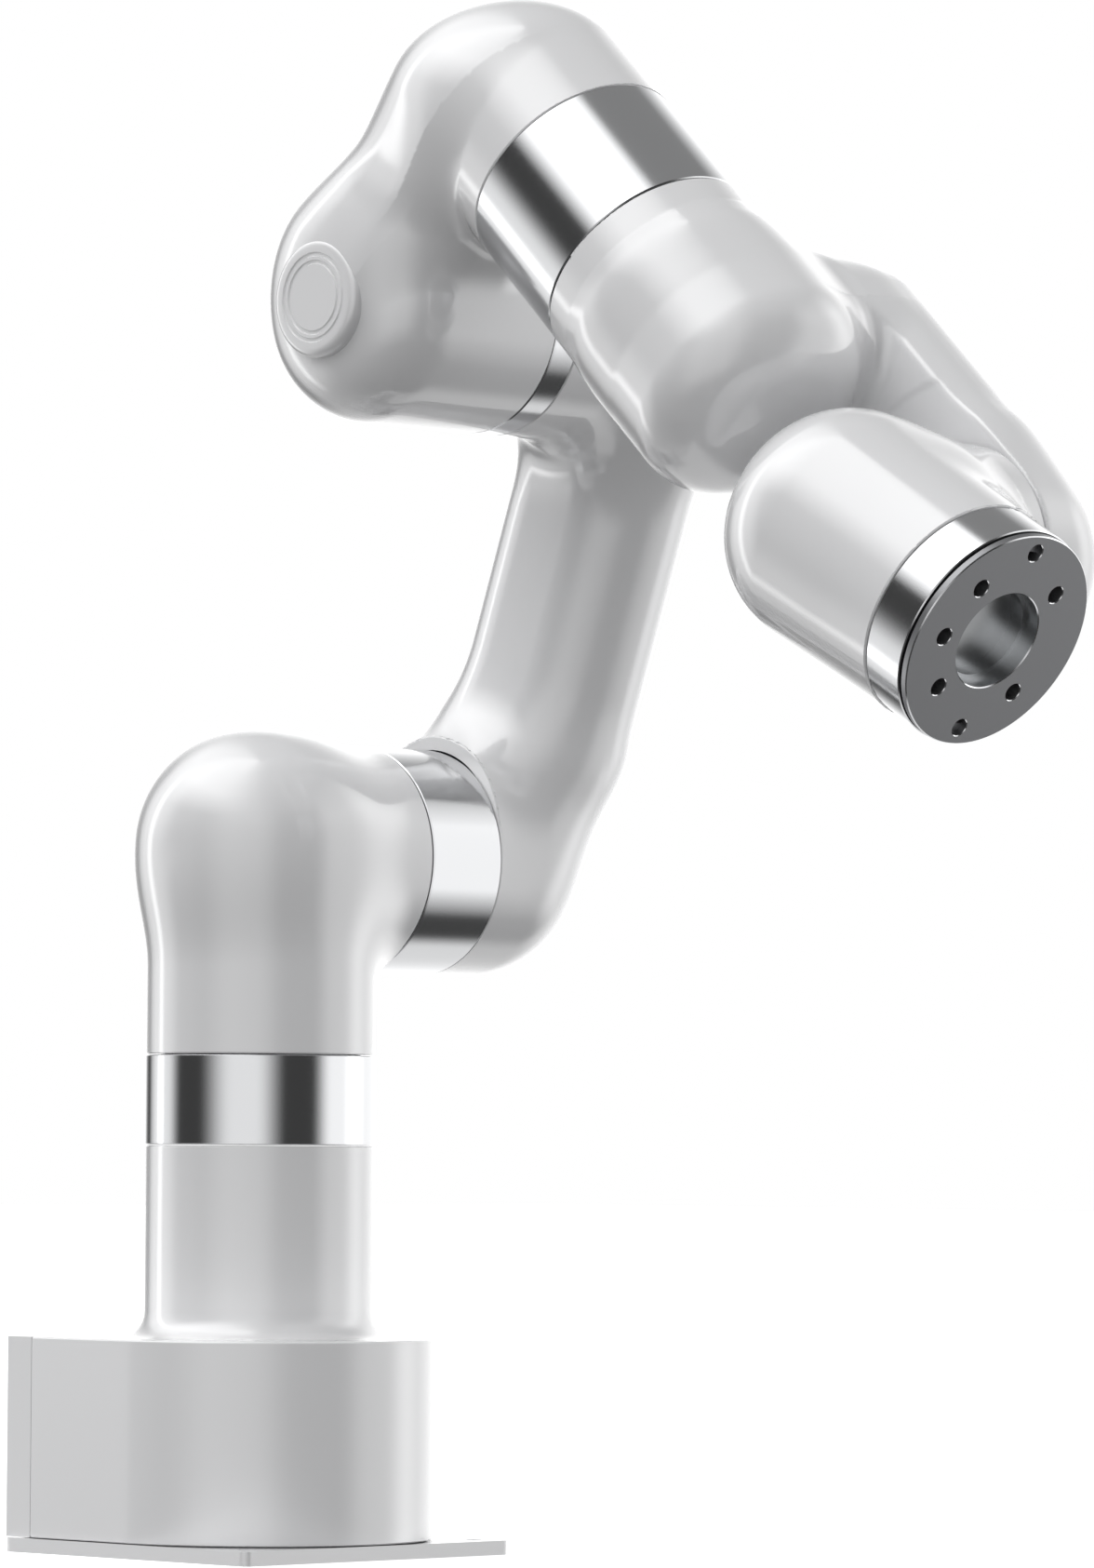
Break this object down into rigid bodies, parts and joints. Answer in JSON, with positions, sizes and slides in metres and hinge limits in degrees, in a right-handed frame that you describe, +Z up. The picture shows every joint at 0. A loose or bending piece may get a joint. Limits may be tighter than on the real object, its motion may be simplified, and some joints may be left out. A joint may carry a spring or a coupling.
{
  "type": "collaborative robot arm",
  "caption": "Compact six-axis robot arm: square base with controller, offset upper arm and forearm, round tool flange.",
  "frame": {"origin": "centre of the base plate's underside, on the first joint's axis", "axes": "+Z up along the first joint's axis; +X forward, away from the connector panel; +Y towards the side the upper arm is carried on"},
  "size_m": [0.4291, 0.2125, 0.5334],
  "materials": {
    "gloss_white": "glossy lacquer on cast aluminium",
    "polished_metal": "polished, fine turning marks",
    "dark_anodised": "dark anodised, satin",
    "copper_winding": "varnished copper wire",
    "steel": "satin",
    "button_metal": "brushed",
    "circuit_board": "solder mask",
    "green_terminal": "moulded",
    "black_plastic": "moulded"
  },
  "bodies": {
    "base": {"base_housing": "gloss_white", "base_plate": "gloss_white", "controller_board": "circuit_board", "io_terminal_lower": "green_terminal", "io_terminal_upper": "green_terminal", "j1_brake": "black_plastic", "j1_encoder": "circuit_board", "j1_ring": "polished_metal", "j1_rotor": "steel", "j1_stator": "copper_winding", "network_socket": "steel", "power_inlet": "black_plastic", "power_supply": "steel", "rear_cover": "gloss_white", "status_lens": "black_plastic", "stop_connector": "steel"},
    "button": {"power_button": "button_metal"},
    "shoulder": {"j1_reducer": "steel", "j2_brake": "black_plastic", "j2_encoder": "circuit_board", "j2_ring": "polished_metal", "j2_rotor": "steel", "j2_stator": "copper_winding", "shoulder_casting": "gloss_white"},
    "upper_arm": {"j2_reducer": "steel", "j3_brake": "black_plastic", "j3_encoder": "circuit_board", "j3_ring": "polished_metal", "j3_rotor": "steel", "j3_stator": "copper_winding", "upper_arm_casting": "gloss_white"},
    "elbow": {"elbow_cap": "gloss_white", "elbow_casting": "gloss_white", "j3_reducer": "steel", "j4_brake": "black_plastic", "j4_encoder": "circuit_board", "j4_ring": "polished_metal", "j4_rotor": "steel", "j4_stator": "copper_winding"},
    "forearm": {"forearm_casting": "gloss_white", "j4_reducer": "steel", "j5_brake": "black_plastic", "j5_encoder": "circuit_board", "j5_rotor": "steel", "j5_stator": "copper_winding"},
    "wrist": {"j5_reducer": "steel", "j6_brake": "black_plastic", "j6_encoder": "circuit_board", "j6_ring": "polished_metal", "j6_rotor": "steel", "j6_stator": "copper_winding", "wrist_casting": "gloss_white"},
    "tool_flange": {"j6_reducer": "steel", "tool_flange": "dark_anodised"}
  },
  "joints": [
    {"name": "j1_base_turn", "type": "hinge", "parent": "base", "child": "shoulder", "pos_m": [0, 0, 0.2435], "axis": [0, 0, 1], "range_deg": [-360, 360]},
    {"name": "j2_shoulder", "type": "hinge", "parent": "shoulder", "child": "upper_arm", "pos_m": [0, 0, 0.2435], "axis": [0, 1, 0], "range_deg": [-160, 95]},
    {"name": "j3_elbow", "type": "hinge", "parent": "upper_arm", "child": "elbow", "pos_m": [0.06873, 0, 0.43132], "axis": [0, -1, 0], "range_deg": [-60, 230]},
    {"name": "j4_forearm_roll", "type": "hinge", "parent": "elbow", "child": "forearm", "pos_m": [0.12934, 0, 0.49373], "axis": [0.7174, 0, -0.6967], "range_deg": [-360, 360]},
    {"name": "j5_wrist_bend", "type": "hinge", "parent": "forearm", "child": "wrist", "pos_m": [0.29262, 0, 0.33517], "axis": [0, 1, 0], "range_deg": [-106, 126]},
    {"name": "j6_flange_roll", "type": "hinge", "parent": "wrist", "child": "tool_flange", "pos_m": [0.34541, 0, 0.30363], "axis": [0.8584, 0, -0.5129], "range_deg": [-360, 360]},
    {"name": "power_button_press", "type": "slide", "parent": "base", "child": "button", "axis": [1, 0, 0], "range_m": [0, 0.0015], "stiffness_N_per_m": 400, "springref_m": -0.0005}
  ]
}
